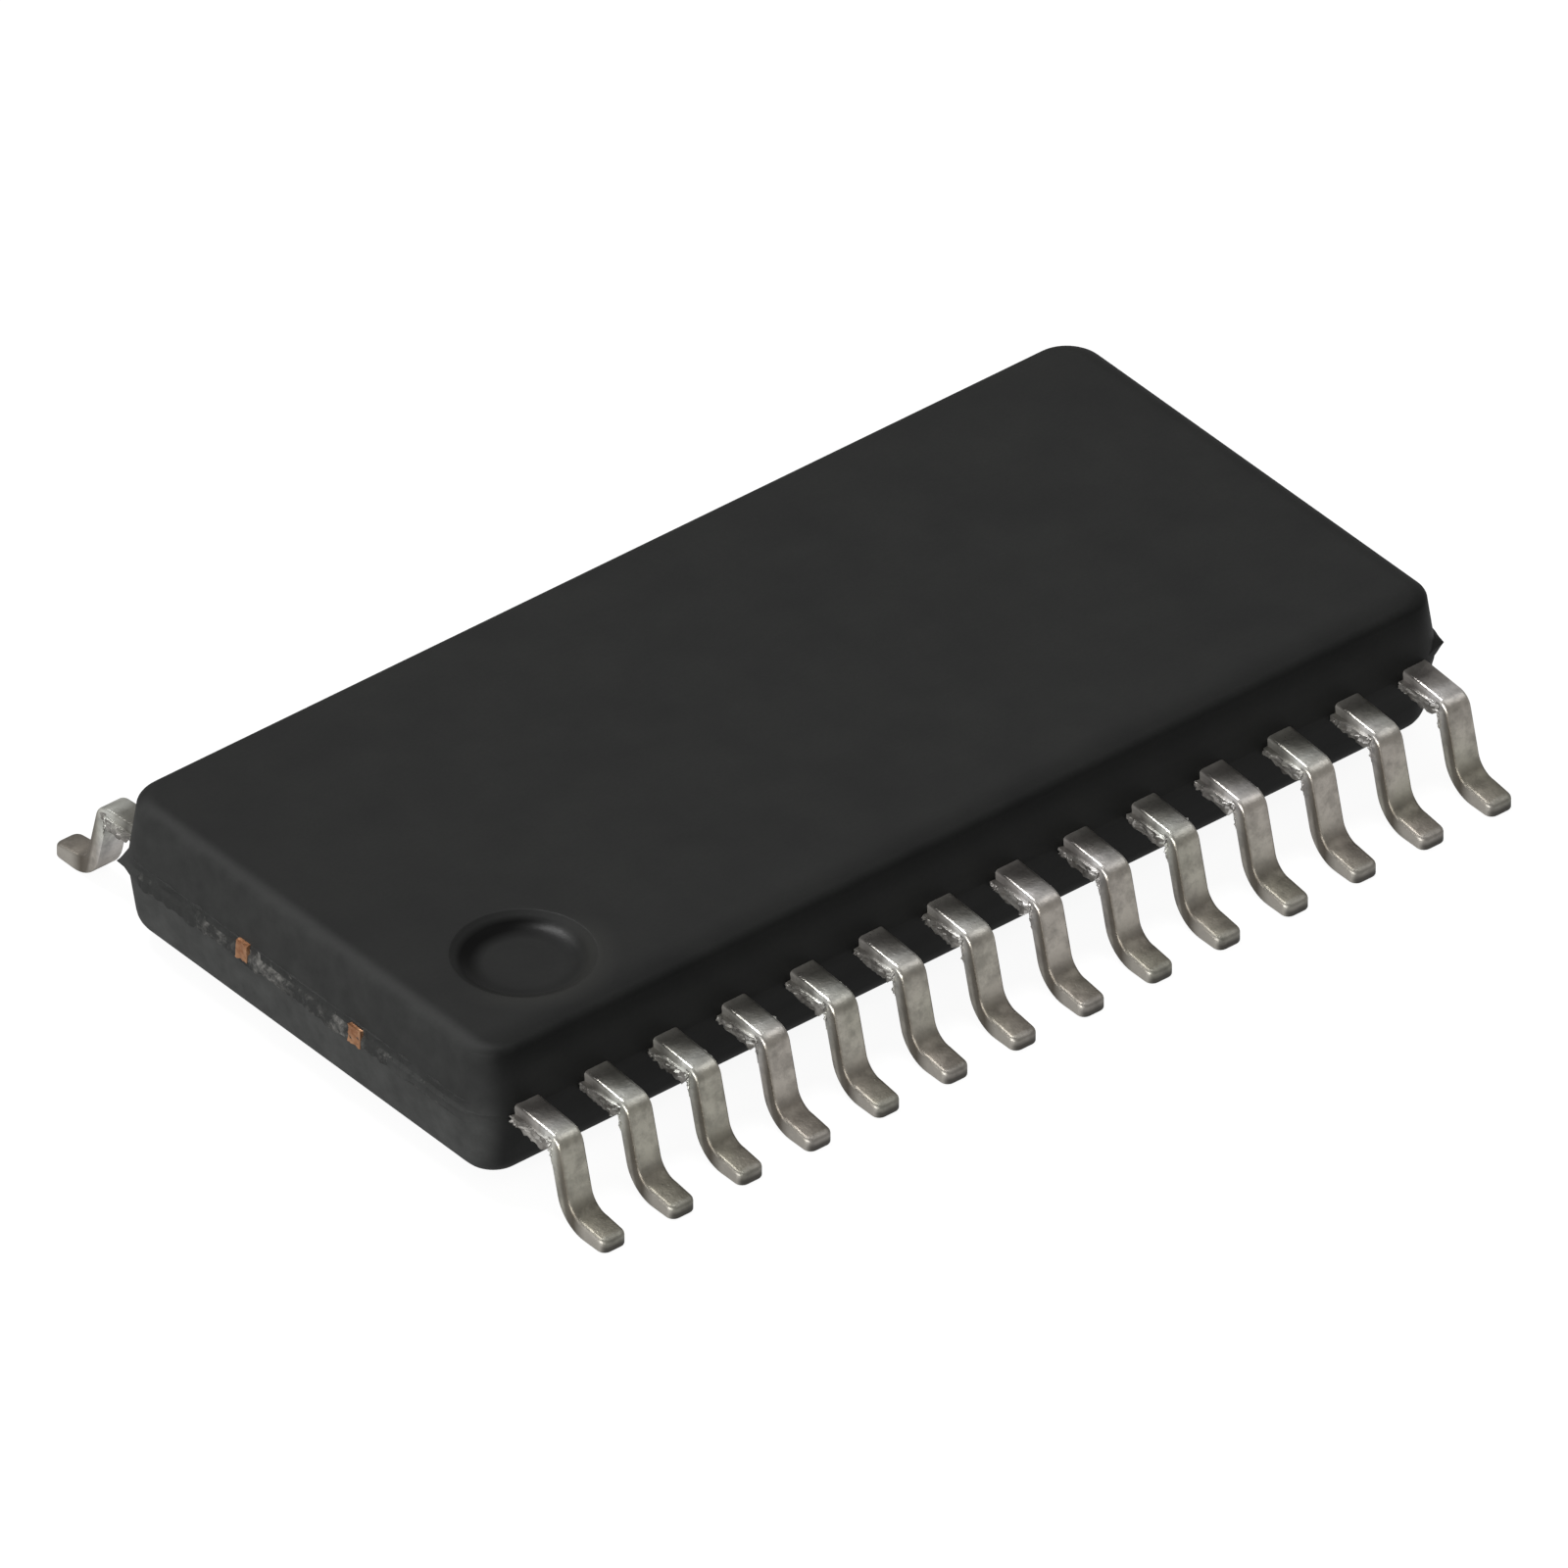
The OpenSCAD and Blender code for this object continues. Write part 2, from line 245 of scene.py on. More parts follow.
def cut_dimple(block):
    """Round pin-one dimple: a hole in the top face, with rings drawn inwards from its edge to the floor."""
    centre = (DIMPLE_X, DIMPLE_Y, TOP)
    # The radius and the depth of each ring.
    rings = ((1.08, 0), (1.07, 0.001), (1.06, 0.008), (1.0, 0.046), (0.96, 0.073), (0.92, 0.097),
             (0.88, 0.117), (0.84, 0.133), (0.8, 0.146), (0.75, 0.157), (0.7, 0.164), (0.62, 0.17),
             (0.4, 0.171))
    bpy.ops.mesh.primitive_cylinder_add(vertices=96, radius=DIMPLE_REACH, depth=0.4)
    cutter = start(bpy.context.object, "cutter", (1, 1, 1), centre)
    cut = block.modifiers.new("dimple", "BOOLEAN")
    cut.operation, cut.solver, cut.object = "DIFFERENCE", "EXACT", cutter
    keep(block, cut)
    bpy.data.objects.remove(cutter)

    def inside(p):
        return math.hypot(p.x - DIMPLE_X, p.y - DIMPLE_Y) < DIMPLE_REACH * 1.002

    pick(block, faces=lambda c, n: inside(c) and TOP - 0.3 < c.z < TOP - 0.05)
    bpy.ops.mesh.delete(type="FACE")
    pick(block, edges=lambda a, b: inside(a.co) and inside(b.co) and min(a.co.z, b.co.z) > TOP - 0.01)
    radius, depth = DIMPLE_REACH, 0
    for r, d in rings:
        push((0, 0, depth - d))
        bpy.ops.transform.resize(value=(r / radius, r / radius, 1), center_override=centre)
        radius, depth = r, d
    bpy.ops.mesh.edge_face_add()
    tidy_mesh(block)


def parting_band():
    """The strip of compound between the mould halves: ragged at the ends, with a fin at two corners."""
    lip_x, lip_y = HALF_L + LIP, HALF_W - BAND_SUNK
    band = rounded_plate("parting_band", lip_x, lip_y, FRAME_LOW, CORNER_R, corner_steps=8)
    pick(band, faces=lambda c, n: True)
    push((0, 0, FRAME_T))
    for up in (1, -1):
        pick(band, faces=lambda c, n: n.z * up > 0.9)
        for thickness, depth in ((0.02, 0.01), (0.03, 0.03), (0.06, 0.03), (0.2, 0)):
            inset(thickness, depth)
    pick(band, edges=lambda a, b: abs(a.co.z - b.co.z) > 0.9 * FRAME_T)
    bpy.ops.mesh.subdivide(number_cuts=4)
    # Two rounds of cuts leave the outer edges 0.05 mm long or less, fine enough to tear.
    for cuts, longest in ((17, 2), (18, 0.3)):
        for axis, lip in ((0, lip_y), (1, lip_x)):
            pick(band, edges=lambda a, b: abs(a.co[axis] - b.co[axis]) > longest
                 and abs(a.co[1 - axis]) > lip - 0.2)
            bpy.ops.mesh.subdivide(number_cuts=cuts)
    # The fins lie at the lower edge of the far left corner and at the upper edge of the near right one.
    for side, z, fin in ((-1, FRAME_LOW, FAR_FIN), (1, FRAME_TOP, NEAR_FIN)):
        pick(band, verts=lambda v: v.co.x * side > lip_x - FIN_REACH and -v.co.y * side > lip_y - FIN_REACH
             and abs(v.co.z - z) < 0.03)
        bpy.ops.transform.translate(value=(side * fin, -side * fin, 0), use_proportional_edit=True,
                                    proportional_edit_falloff="SHARP", proportional_size=0.3)
    for up in (1, -1):
        pick(band, verts=lambda v: (v.co.z - PARTING) * up > 0.01)
        bpy.ops.transform.translate(value=(MISMATCH * up, 0, 0))
    mark(band, "lip", lambda p: abs(p.x) > lip_x - LIP_DEEP)
    mark(band, "hem", lambda p: abs(p.x) > lip_x - LIP_DEEP and p.z < FRAME_LOW + 0.04)
    roughen(band, "lip", 0.5, 0.05)
    roughen(band, "lip", 0.12, 0.04)
    roughen(band, "hem", 0.35, 0.2, "Z", 0.68)
    return band


def lead_pattern():
    """One gull-wing lead, drawn on the middle plane of the far side: shoulder, shank, heel and foot."""
    root = HALF_W - ROOT_IN
    bpy.ops.mesh.primitive_cube_add(size=1)
    lead = start(bpy.context.object, "lead_pattern", (LEAD_W, KNEE.x - root, FRAME_T),
                 (0, (root + KNEE.x) / 2, PARTING))
    mark(lead, "outer", lambda p: p.z > PARTING)
    mark(lead, "inner", lambda p: p.z < PARTING)
    pick(lead, faces=lambda c, n: n.y > 0.9)
    bpy.ops.transform.translate(value=(0, 0, -SHOULDER_FALL))
    bpy.ops.mesh.spin(steps=8, angle=TURN, center=(0, KNEE.x, KNEE.y), axis=(1, 0, 0))
    push((0, SHANK * math.cos(TURN), -SHANK * math.sin(TURN)))
    bpy.ops.mesh.spin(steps=10, angle=-TURN, center=(0, HEEL.x, HEEL.y), axis=(1, 0, 0))
    push((0, TOE - HEEL.x, 0))
    pick(lead, verts=lambda v: v.co.y > TOE - 0.01 and v.co.z > FRAME_T / 2)
    bpy.ops.transform.translate(value=(0, 0, -FOOT_FALL))
    tidy_mesh(lead)
    pick(lead, edges=lambda a, b: abs(a.co.x - b.co.x) < 0.001 and min(a.co.y, b.co.y) > TOE - 0.01)
    bpy.ops.mesh.bevel(offset=TOE_CORNER_R, segments=5, profile=0.5, affect="EDGES")
    break_edges(lead, "outer", OUTER_EDGE_R, 4)
    break_edges(lead, "inner", INNER_EDGE_R, 2)
    return lead


def break_edges(lead, face, radius, steps):
    """Rounds the long edges and the toe edge of one face of the strip, as stamping does."""
    make_active(lead)
    group = lead.vertex_groups[face].index
    on_face = {v.index for v in lead.data.vertices
               if any(g.group == group and g.weight > 0.5 for g in v.groups)}

    def chosen(a, b):
        along = abs(a.co.x - b.co.x) < 0.001 and abs(a.co.x) > LEAD_W / 2 - 0.001
        return {a.index, b.index} <= on_face and (along or min(a.co.y, b.co.y) > TOE - 0.15)

    pick(lead, edges=chosen)
    bpy.ops.mesh.bevel(offset=radius, segments=steps, profile=0.5, affect="EDGES")
    bpy.ops.object.mode_set(mode="OBJECT")


def leave_stubs(lead):
    """What the dam bar leaves where it was sheared off: a burr on both flanks, and a spur at one root."""
    cuts = [((0, y, 0), (0, 1, 0)) for y in (STUB_FROM, STUB_STEP, STUB_TO)]
    for at, normal in cuts + [((0, 0, BURR_TOP), (0, 0, 1))]:
        pick_all(lead)
        bpy.ops.mesh.bisect(plane_co=at, plane_no=normal)
    out = LEAD_W / 2
    for side, spur in ((1, SPUR_OUT), (-1, 0)):
        pick(lead, faces=lambda c, n: n.x * side > 0.9 and STUB_FROM < c.y < STUB_TO and c.z < BURR_TOP)
        push((side * STUB_OUT, 0, -0.01))
        bpy.ops.mesh.subdivide(number_cuts=9)
        pick(lead, verts=lambda v: v.co.x * side > out + 0.01 and v.co.y < STUB_STEP + 0.01)
        bpy.ops.transform.translate(value=(side * spur, 0, 0.02))
        pick(lead, verts=lambda v: v.co.x * side > out + 0.01 and v.co.y > STUB_TO - 0.12)
        bpy.ops.transform.translate(value=(-side * STUB_END_IN, 0, 0))
    pick(lead, verts=lambda v: abs(v.co.x) > out + 0.01 and v.co.z < FRAME_LOW - 0.06 * (v.co.y - HALF_W))
    bpy.ops.transform.translate(value=(0, 0, -0.06))
    tidy_mesh(lead)
    mark(lead, "torn", lambda p: abs(p.x) > out + 0.004)


def lead_copy(pattern, n):
    """Lead n in its own place, counted anticlockwise from the dimple."""
    near = n <= PER_SIDE
    column = (n - 1) % PER_SIDE - (PER_SIDE - 1) / 2
    piece = pattern.copy()
    piece.data = pattern.data.copy()
    piece.name = piece.data.name = f"gull_wing_{n}"
    bpy.context.collection.objects.link(piece)
    pick_all(piece)
    if near:
        bpy.ops.transform.rotate(value=math.pi, orient_axis="Z", center_override=(0, 0, 0))
    place = (column * PITCH, 0, 0) if near else (-column * PITCH, -FAR_ROW_IN, 0)
    bpy.ops.transform.translate(value=place)
    roughen(piece, "torn", 0.06, 0.13)
    to_metres(piece)
    smooth(piece, 40)
    return piece


def tie_end(name, y, z, width, height):
    """The end of a tie bar, sheared off at the parting band and smeared a little."""
    bpy.ops.mesh.primitive_cube_add(size=1)
    place = (-HALF_L - LIP + TIE_END_SUNK, y, z)
    end = start(bpy.context.object, name, (TIE_END_L, width, height), place)
    pick_all(end)
    bpy.ops.mesh.subdivide(number_cuts=7)
    mark(end, "torn", lambda p: p.x < -HALF_L)
    roughen(end, "torn", 0.1, 0.07)
    to_metres(end)
    smooth(end, 40)
    return end


# ---------------------------------------------------------------- finishes

# Node settings that come up again and again: a soft ramp, two ways to mix colours, and sums.
SOFTLY = {"interpolation_type": "SMOOTHSTEP"}
DARKEN = {"data_type": "RGBA", "blend_type": "MULTIPLY"}
BLEND = {"data_type": "RGBA"}
TIMES = {"operation": "MULTIPLY"}
TIMES_PLUS = {"operation": "MULTIPLY_ADD"}
MINUS = {"operation": "SUBTRACT"}


def linear(text):
    """An sRGB hex colour as linear red, green, blue and alpha."""
    parts = [int(text[i:i + 2], 16) / 255 for i in (1, 3, 5)]
    return [c / 12.92 if c <= 0.04045 else ((c + 0.055) / 1.055) ** 2.4 for c in parts] + [1]


def add(tree, kind, settings=None, *numbered, **named):
    """Adds a node, with inputs in order or by name: values, sockets, or nodes whose output is linked."""
    node = tree.nodes.new(kind)
    for key, value in (settings or {}).items():
        if key == "stops":
            for k, (position, colour) in enumerate(value):
                element = node.color_ramp.elements[k] if k < 2 else node.color_ramp.elements.new(position)
                element.position, element.color = position, colour
        else:
            setattr(node, key, value)
    shown = [socket for socket in node.inputs if socket.enabled]
    inputs = list(zip(shown, numbered))
    for name, value in named.items():
        inputs.append((next(s for s in shown if s.name == name.replace("_", " ")), value))
    for socket, value in inputs:
        if isinstance(value, bpy.types.Node):
            value = next(o for o in value.outputs if o.enabled)
        if isinstance(value, bpy.types.NodeSocket):
            tree.links.new(value, socket)
        else:
            socket.default_value = value
    return node


def node_tree(block):
    """The emptied node tree of a new material or world."""
    block.use_nodes = True
    block.node_tree.nodes.clear()
    return block.node_tree


def grey(v):
    return (v, v, v, 1)


def in_millimetres(tree):
    """Object coordinates in millimetres, so that every scale below counts features per millimetre."""
    place = add(tree, "ShaderNodeTexCoord").outputs["Object"]
    return add(tree, "ShaderNodeVectorMath", TIMES, place, (1 / MM, 1 / MM, 1 / MM))


def moulding_compound():
    """Black filled epoxy from a spark-eroded mould: a dry satin skin with faint flow lines."""
    m = bpy.data.materials.new("moulding_compound")
    tree = node_tree(m)
    place = in_millimetres(tree)
    # Fine grit of the eroded mould, about 0.05 mm; clouds of 1 mm; flow lines 0.4 mm apart and many times as
    # long.
    grit = add(tree, "ShaderNodeTexNoise", None, place, Scale=20.0, Detail=3.0, Roughness=0.6)
    cloud = add(tree, "ShaderNodeTexNoise", None, place, Scale=0.9, Detail=4.0, Roughness=0.55)
    drawn_out = add(tree, "ShaderNodeMapping", None, place, Scale=(0.06, 1.0, 1.0))
    lines = add(tree, "ShaderNodeTexNoise", None, drawn_out, Scale=2.6, Detail=5.0, Roughness=0.6)
    tone = add(tree, "ShaderNodeValToRGB", {"stops": ((0.3, linear("#181919")), (0.7, linear("#202120")))},
               cloud)
    speck = add(tree, "ShaderNodeValToRGB", {"stops": ((0.3, grey(0.78)), (0.72, grey(1)))}, grit)
    colour = add(tree, "ShaderNodeMix", DARKEN, 1.0, A=tone, B=speck)
    # The near long edge of the top is dull over 0.6 mm, and the end face by the dimple is scuffed paler
    # towards the bottom.
    xyz = add(tree, "ShaderNodeSeparateXYZ", None, place)
    inwards = add(tree, "ShaderNodeMapRange", SOFTLY, xyz.outputs[1],
                  -HALF_W + 0.15, -HALF_W + 0.8, 0.5, 1.0)
    down = add(tree, "ShaderNodeMapRange", SOFTLY, xyz.outputs[2],
               TOP - 0.6, TOP - 0.1, 1.0, 0.5)
    edge = add(tree, "ShaderNodeMath", {"operation": "MAXIMUM"}, inwards, down)
    end = add(tree, "ShaderNodeMapRange", SOFTLY, xyz.outputs[0],
              -HALF_L + 0.1, -HALF_L + 0.45, 1.0, 0.0)
    low = add(tree, "ShaderNodeMapRange", SOFTLY, xyz.outputs[2],
              1.0, 1.6, 1.0, 0.4)
    streaked = add(tree, "ShaderNodeMapRange", None, lines, 0.3, 0.7, 0.5, 1.0)
    scuff = add(tree, "ShaderNodeMath", TIMES, end,
                add(tree, "ShaderNodeMath", TIMES, low, streaked))
    worn = add(tree, "ShaderNodeMix", BLEND, scuff, A=colour, B=linear("#565756"))
    even = add(tree, "ShaderNodeMapRange", None, lines, 0.25, 0.75, 0.48, 0.58)
    rough = add(tree, "ShaderNodeMath", TIMES_PLUS, end, 0.15, even)
    # The pin that left the dimple was polished, so the wall is smooth. Its far side is painted shade, darker
    # and with less shine, and a paler band on the near side of the rim is painted light.
    from_pin = add(tree, "ShaderNodeVectorMath", MINUS, place, (DIMPLE_X, DIMPLE_Y, TOP))
    radius = add(tree, "ShaderNodeVectorMath", {"operation": "LENGTH"}, from_pin).outputs[1]
    to_far_side = (-0.15, 0.99, 0)
    far = add(tree, "ShaderNodeVectorMath", {"operation": "DOT_PRODUCT"}, from_pin, to_far_side).outputs[1]
    wall = add(tree, "ShaderNodeValToRGB", {"stops": ((0.6, grey(0)), (0.8, grey(1)), (0.92, grey(1)),
                                                      (1.03, grey(0)))}, radius)
    far_side = add(tree, "ShaderNodeMapRange", SOFTLY, far, -0.1, 0.75, 0.0, 1.0)
    # Painted shade on the far side of the dimple's wall.
    shade = add(tree, "ShaderNodeMath", TIMES, wall, far_side)
    # Painted light: a paler band over the near side of the rim.
    ring_at = add(tree, "ShaderNodeMapRange", None, radius, 0.8, 1.6, 0.0, 1.0)
    rim_light_ramp = add(tree, "ShaderNodeValToRGB", {"stops": ((0.0, grey(0)), (0.2, grey(0.45)), (0.35, grey(0.4)),
                                                       (0.8, grey(0)))}, ring_at)
    near_side = add(tree, "ShaderNodeMapRange", SOFTLY, far, -0.6, 0.4, 1.0, 0.0)
    painted_rim_light = add(tree, "ShaderNodeMath", TIMES, rim_light_ramp, near_side)
    ringed = add(tree, "ShaderNodeMix", BLEND, painted_rim_light, A=worn, B=linear("#363633"))
    base = add(tree, "ShaderNodeMix", BLEND, shade, A=ringed, B=linear("#101010"))
    polish = add(tree, "ShaderNodeMath", TIMES, wall, 0.17)
    gloss = add(tree, "ShaderNodeMath", MINUS, rough, polish)
    dim = add(tree, "ShaderNodeMapRange", None, wall, 0.0, 1.0, 0.33, 0.24)
    dimmer = add(tree, "ShaderNodeMapRange", None, shade, 0.0, 1.0, 1.0, 0.3)
    level = add(tree, "ShaderNodeMath", TIMES, dim, dimmer)
    shine = add(tree, "ShaderNodeMath", TIMES, edge, level)
    fine = add(tree, "ShaderNodeBump", None, Strength=0.3, Distance=0.004 * MM, Height=grit)
    wave = add(tree, "ShaderNodeBump", None, Strength=0.3, Distance=0.004 * MM, Height=lines, Normal=fine)
    skin = add(tree, "ShaderNodeBsdfPrincipled", None, Base_Color=base, Roughness=gloss, IOR=1.5,
               Specular_IOR_Level=shine, Normal=wave)
    add(tree, "ShaderNodeOutputMaterial", None, skin)
    return m


def torn_flash():
    """Compound torn thin at the parting plane: its resin shows paler, in dusty specks."""
    m = bpy.data.materials.new("torn_flash")
    tree = node_tree(m)
    place = in_millimetres(tree)
    # Sparse pale specks of 0.2 mm and less, in stretches of about 1 mm, on the dark.
    chip = add(tree, "ShaderNodeTexNoise", None, place, Scale=5.0, Detail=4.0, Roughness=0.7)
    stretch = add(tree, "ShaderNodeTexNoise", None, place, Scale=0.9, Detail=2.0)
    torn = add(tree, "ShaderNodeMath", TIMES, stretch, chip)
    tone = add(tree, "ShaderNodeValToRGB", {"stops": ((0.24, linear("#2f302f")), (0.3, linear("#4e4e4c")),
                                                      (0.46, linear("#9a9894")))}, torn)
    crumbs = add(tree, "ShaderNodeBump", None, Strength=0.6, Distance=0.01 * MM, Height=chip)
    skin = add(tree, "ShaderNodeBsdfPrincipled", None, Base_Color=tone, Roughness=0.6, IOR=1.5,
               Specular_IOR_Level=0.4, Normal=crumbs)
    add(tree, "ShaderNodeOutputMaterial", None, skin)
    return m


def metal(name, dark, light, rough, grain, depth, metallic=1.0):
    """A procedural metal: mottled between two colours, with a grain per millimetre and a grain depth."""
    m = bpy.data.materials.new(name)
    tree = node_tree(m)
    place = in_millimetres(tree)
    patch = add(tree, "ShaderNodeTexNoise", None, place, Scale=3.5, Detail=5.0, Roughness=0.65)
    fine = add(tree, "ShaderNodeTexNoise", None, place, Scale=grain, Detail=3.0, Roughness=0.6)
    tone = add(tree, "ShaderNodeValToRGB", {"stops": ((0.35, linear(dark)), (0.65, linear(light)))}, patch)
    gloss = add(tree, "ShaderNodeMapRange", None, patch, 0.3, 0.7, rough + 0.06, rough - 0.06)
    pits = add(tree, "ShaderNodeBump", None, Strength=0.4, Distance=depth * MM, Height=fine)
    skin = add(tree, "ShaderNodeBsdfPrincipled", None, Base_Color=tone, Roughness=gloss, Metallic=metallic,
               Normal=pits)
    add(tree, "ShaderNodeOutputMaterial", None, skin)
    return m


def satin_tin():
    """Tin plating with painted light: pale at the root, a painted reflection of the black body along the
    shoulder and a painted highlight at the knee; mottled down the shank, and dull on the foot.
    """
    m = bpy.data.materials.new("satin_tin")
    tree = node_tree(m)
    place = in_millimetres(tree)
    xyz = add(tree, "ShaderNodeSeparateXYZ", None, place)
    out = add(tree, "ShaderNodeMath", {"operation": "ABSOLUTE"}, xyz.outputs[1])
    # Patches of 0.3 mm shift the borders between the tones and painted light along the lead and mottle them;
    # the grain is about 0.04 mm.
    patch = add(tree, "ShaderNodeTexNoise", None, place, Scale=3.5, Detail=5.0, Roughness=0.65)
    fine = add(tree, "ShaderNodeTexNoise", None, place, Scale=26.0, Detail=3.0, Roughness=0.6)
    shifted = add(tree, "ShaderNodeMath", TIMES_PLUS, patch, 0.12, out)
    along = add(tree, "ShaderNodeMapRange", None, shifted, HALF_W, TOE + 0.06, 0.0, 1.0)
    # Along the lead: paler at the root as painted light, a painted reflection of the black body along the
    # middle of the shoulder, a painted highlight at the knee, lighter down the shank, darker on the foot and
    # paler again at the toe's edge.
    tin_tone_and_painted_light = add(tree, "ShaderNodeValToRGB", {"stops": (
        (0.0, linear("#bcbab8")), (0.14, linear("#8c8a88")), (0.27, linear("#bdbcba")),
        (0.36, linear("#fafbfc")), (0.44, linear("#f4f4f3")), (0.5, linear("#dcd8d1")),
        (0.6, linear("#e6e2da")), (0.66, linear("#a5a098")), (0.94, linear("#9d9992")),
        (0.97, linear("#b7b5b0")))}, along)
    mottle = add(tree, "ShaderNodeValToRGB", {"stops": ((0.36, grey(0.66)), (0.58, grey(1)))}, patch)
    mottled = add(tree, "ShaderNodeMix", DARKEN, 1.0, A=tin_tone_and_painted_light, B=mottle)
    # From lead to lead the plating turns from faintly greenish to faintly brownish.
    batch = add(tree, "ShaderNodeTexNoise", None, place, Scale=0.55, Detail=1.0)
    tint = add(tree, "ShaderNodeValToRGB", {"stops": ((0.4, linear("#f8f8f0")), (0.6, linear("#fffbf8")))},
               batch)
    tinted = add(tree, "ShaderNodeMix", DARKEN, 1.0, A=mottled, B=tint)
    # How far a place is from the middle plane of its own lead tells the flanks from the faces.
    pitches = add(tree, "ShaderNodeMath", TIMES, xyz.outputs[0], 1 / PITCH)
    across = add(tree, "ShaderNodeMath", {"operation": "ABSOLUTE"}, add(
        tree, "ShaderNodeMath", MINUS,
        add(tree, "ShaderNodeMath", {"operation": "FRACT"}, pitches), 0.5))
    flank = add(tree, "ShaderNodeMapRange", None, across, 0.19 / PITCH, 0.22 / PITCH, 0.0, 1.0)
    # The shear left the outer half of each flank dark and brown along the shank.
    over = add(tree, "ShaderNodeMath", TIMES_PLUS, out, math.sin(TURN), -0.14)
    height = add(tree, "ShaderNodeMath", TIMES_PLUS, xyz.outputs[2], math.cos(TURN), over)
    centre = KNEE.x * math.sin(TURN) + KNEE.y * math.cos(TURN)
    outer = add(tree, "ShaderNodeMapRange", None, height, centre - 0.03, centre + 0.03, 0.0, 1.0)
    on_shank = add(tree, "ShaderNodeValToRGB", {"stops": ((0.46, grey(0)), (0.54, grey(0.8)),
                                                          (0.68, grey(0.8)), (0.76, grey(0)))}, along)
    strip = add(tree, "ShaderNodeMath", TIMES, flank,
                add(tree, "ShaderNodeMath", TIMES, outer, on_shank))
    striped = add(tree, "ShaderNodeMix", BLEND, strip, A=tinted, B=linear("#776f64"))
    # The flanks are paler along the foot, painted light; the toe's lower half is dark, where it was cut off.
    on_foot = add(tree, "ShaderNodeMapRange", None, out, 5.6, 5.85, 0.0, 0.7)
    pale = add(tree, "ShaderNodeMath", TIMES, flank, on_foot)
    pale_footed = add(tree, "ShaderNodeMix", BLEND, pale, A=striped, B=linear("#e6e1d8"))
    at_toe = add(tree, "ShaderNodeMapRange", None, out, TOE - 0.1, TOE - 0.02, 0.0, 0.85)
    low = add(tree, "ShaderNodeMapRange", None, xyz.outputs[2], 0.08, 0.15, 1.0, 0.0)
    cut = add(tree, "ShaderNodeMath", TIMES, at_toe, low)
    tone = add(tree, "ShaderNodeMix", BLEND, cut, A=pale_footed, B=linear("#5f5c58"))
    # The root is made less metallic so that it shows paler, as painted light, and the fresh shear along the
    # shoulder's flank scatters the light. The foot is dullest.
    pale_root_light = add(tree, "ShaderNodeMapRange", None, shifted, 4.35, 4.7, 0.4, 0.0)
    on_shoulder = add(tree, "ShaderNodeMapRange", None, out, 5.05, 5.25, 0.7, 0.0)
    fresh = add(tree, "ShaderNodeMath", TIMES, flank, on_shoulder)
    matt = add(tree, "ShaderNodeMath", {"operation": "MAXIMUM"}, pale_root_light, fresh)
    solid = add(tree, "ShaderNodeMath", MINUS, 1.0, matt)
    dull = add(tree, "ShaderNodeMapRange", None, shifted, 5.5, 5.65, 0.0, 0.16)
    gloss = add(tree, "ShaderNodeMapRange", None, patch, 0.3, 0.7, 0.36, 0.26)
    rough = add(tree, "ShaderNodeMath", {"operation": "ADD"}, gloss, dull)
    pits = add(tree, "ShaderNodeBump", None, Strength=0.5, Distance=0.006 * MM, Height=fine)
    dents = add(tree, "ShaderNodeBump", None, Strength=0.5, Distance=0.02 * MM, Height=patch, Normal=pits)
    skin = add(tree, "ShaderNodeBsdfPrincipled", None, Base_Color=tone, Roughness=rough, Metallic=solid,
               Normal=dents)
    add(tree, "ShaderNodeOutputMaterial", None, skin)
    return m


def dress(piece, *materials):
    piece.data.materials.clear()
    for m in materials:
        piece.data.materials.append(m)


def paint(piece, slot, test):
    """Gives the faces that pass the test of place, in millimetres, and normal another of the materials."""
    for f in piece.data.polygons:
        if test(f.center / MM, f.normal):
            f.material_index = slot


def where_flashed(c, n):
    """A stretch of the band on each end face. The right one is the left one turned half round."""
    stretch = FLASH_FROM < c.y * math.copysign(1, -c.x) < FLASH_TO
    return abs(c.x) > HALF_L and FLASH_LOW < c.z < FRAME_TOP and stretch


def where_sheared(c, n):
    """The flanks and undersides of the shoulder, where the dam bar was."""
    return (abs(n.x) > 0.8 or n.z < -0.3) and abs(c.y) < STUB_TO and 1 < c.z < BURR_TOP + 0.02


# ---------------------------------------------------------------- building

epoxy, flash = moulding_compound(), torn_flash()
# Tin plating handled to a satin. The shear left the flanks half metallic and the bared copper alloy warm and
# smeared. The last three are inside the block: silver-filled film, polished silicon and drawn gold wire.
tin = satin_tin()
sheared = metal("sheared_edge", "#7a7671", "#c0bdb8", 0.42, 25.0, 0.012, 0.5)
copper = metal("cut_copper", "#a5714f", "#e0ae86", 0.4, 20.0, 0.01, 0.6)
film = metal("cured_film", "#8f9092", "#b5b5b3", 0.6, 20.0, 0.004)
silicon = metal("polished_silicon", "#454e5e", "#5a6478", 0.2, 8.0, 0.001)
gold = metal("gold_wire", "#c99a3c", "#e0b458", 0.25, 30.0, 0.001)

body = moulded_block()
cut_dimple(body)
band = parting_band()
make_active(body)
band.select_set(True)
bpy.ops.object.join()
to_metres(body)
smooth(body, 35)
dress(body, epoxy, flash)
paint(body, 1, where_flashed)
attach(body, "root")
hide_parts("mould_body")

for k, (y, z, width, height) in enumerate(TIE_ENDS):
    piece = tie_end(f"tie_end_{k + 1}", y, z, width, height)
    dress(piece, copper)
    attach(piece, "root")

pattern = lead_pattern()
leave_stubs(pattern)
for n in range(1, 2 * PER_SIDE + 1):
    piece = lead_copy(pattern, n)
    dress(piece, tin, sheared)
    paint(piece, 1, where_sheared)
    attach(piece, "root")
    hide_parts(f"lead_{n}")
bpy.data.objects.remove(pattern)

for name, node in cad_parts.items():
    inside = {"die_pad": copper, "die_attach": film, "silicon_die": silicon}.get(name)
    if inside or name.startswith("bond_wire"):
        dress(node, inside or gold)


# ---------------------------------------------------------------- studio

